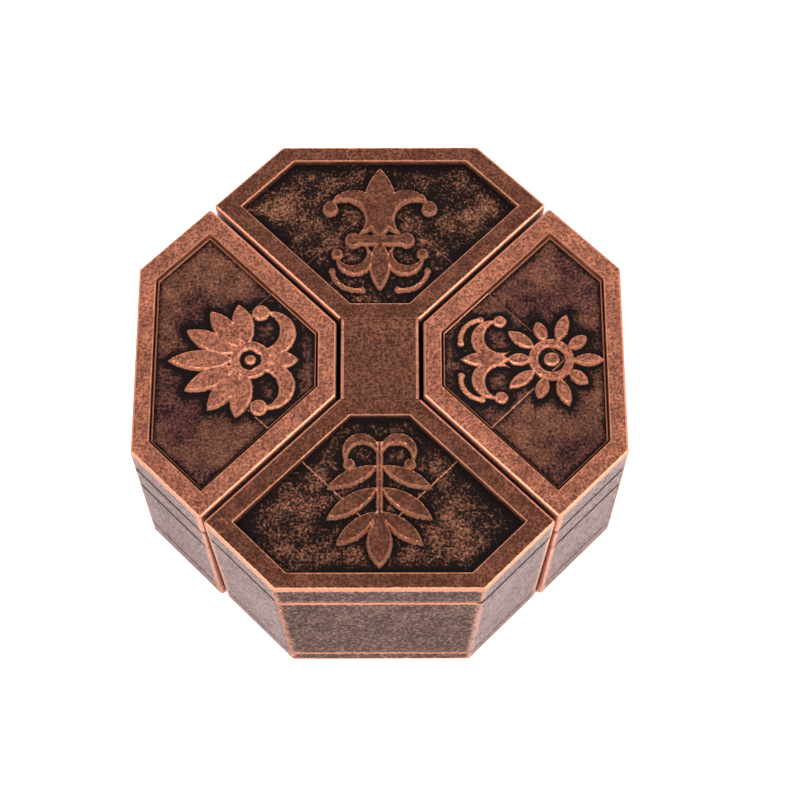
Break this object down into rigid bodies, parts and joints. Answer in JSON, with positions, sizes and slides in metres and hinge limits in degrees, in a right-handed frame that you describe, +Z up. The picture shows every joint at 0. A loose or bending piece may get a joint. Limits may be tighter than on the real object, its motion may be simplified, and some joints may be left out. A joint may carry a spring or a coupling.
{
  "type": "octagonal take-apart lock puzzle",
  "caption": "Octagonal antique copper take-apart puzzle: two interlocking cast halves with framed, ornamented panels, locked by hidden sliding pins.",
  "frame": {"origin": "centre of the underside, on the surface that the puzzle stands on", "axes": "+Z up through the thickness, +Y towards the north block, +X towards the east block"},
  "size_m": [0.045, 0.045, 0.0197],
  "materials": {
    "rim_casting": "antique copper plate, rubbed bright on the edges",
    "side_casting": "antique copper plate, brushed level",
    "plate_patina": "antique copper plate, dark patina",
    "brass_bush": "turned",
    "steel_dowel": "ground",
    "steel_pin": "turned and polished"
  },
  "bodies": {
    "east_west_half": {"ew_base": "rim_casting", "east_leg": "side_casting", "west_leg": "side_casting", "east_riser": "side_casting", "west_riser": "side_casting", "east_top": "rim_casting", "west_top": "rim_casting", "east_plate": "plate_patina", "west_plate": "plate_patina", "east_bush": "brass_bush", "west_bush": "brass_bush", "ew_dowels": "steel_dowel"},
    "north_south_half": {"ns_cap": "rim_casting", "north_leg": "side_casting", "south_leg": "side_casting", "north_foot": "rim_casting", "south_foot": "rim_casting", "north_bush": "brass_bush", "south_bush": "brass_bush", "ns_dowels": "steel_dowel"},
    "north_pin": {"north_pin": "steel_pin"},
    "south_pin": {"south_pin": "steel_pin"},
    "east_pin": {"east_pin": "steel_pin"},
    "west_pin": {"west_pin": "steel_pin"}
  },
  "joints": [
    {"name": "lift", "type": "slide", "parent": "east_west_half", "child": "north_south_half", "axis": [0, 0, 1], "range_m": [0, 0.022]},
    {"name": "north_pin_slide", "type": "slide", "parent": "north_south_half", "child": "north_pin", "axis": [0, -1, 0], "range_m": [0, 0.0028]},
    {"name": "south_pin_slide", "type": "slide", "parent": "north_south_half", "child": "south_pin", "axis": [0, 1, 0], "range_m": [0, 0.0028]},
    {"name": "east_pin_slide", "type": "slide", "parent": "east_west_half", "child": "east_pin", "axis": [-1, 0, 0], "range_m": [0, 0.0028]},
    {"name": "west_pin_slide", "type": "slide", "parent": "east_west_half", "child": "west_pin", "axis": [1, 0, 0], "range_m": [0, 0.0028]}
  ]
}
